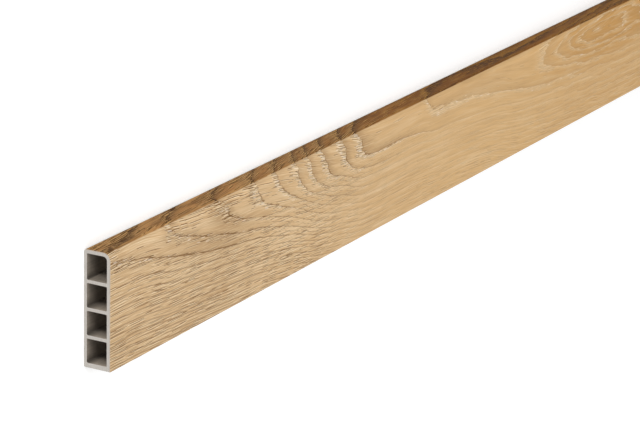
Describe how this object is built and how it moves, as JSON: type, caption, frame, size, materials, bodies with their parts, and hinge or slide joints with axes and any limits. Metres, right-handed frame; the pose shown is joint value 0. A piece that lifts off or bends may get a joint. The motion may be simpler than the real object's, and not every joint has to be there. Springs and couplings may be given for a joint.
{
  "type": "skirting board",
  "caption": "Hollow skirting board: a grey extruded profile with chambers along its length, and a printed oak film over its face, rounded top front edge and top edge.",
  "frame": {"origin": "middle of the back face, which lies on the floor", "axes": "+X along the length, +Y from the bottom edge to the top edge, +Z from the back out to the face"},
  "size_m": [2, 0.06, 0.015],
  "materials": {
    "grey_plastic": "matt extruded plastic with sawn ends",
    "oak_print": "satin printed oak grain"
  },
  "bodies": {
    "root": {"hollow_profile": "grey_plastic", "oak_film": "oak_print"}
  },
  "joints": []
}
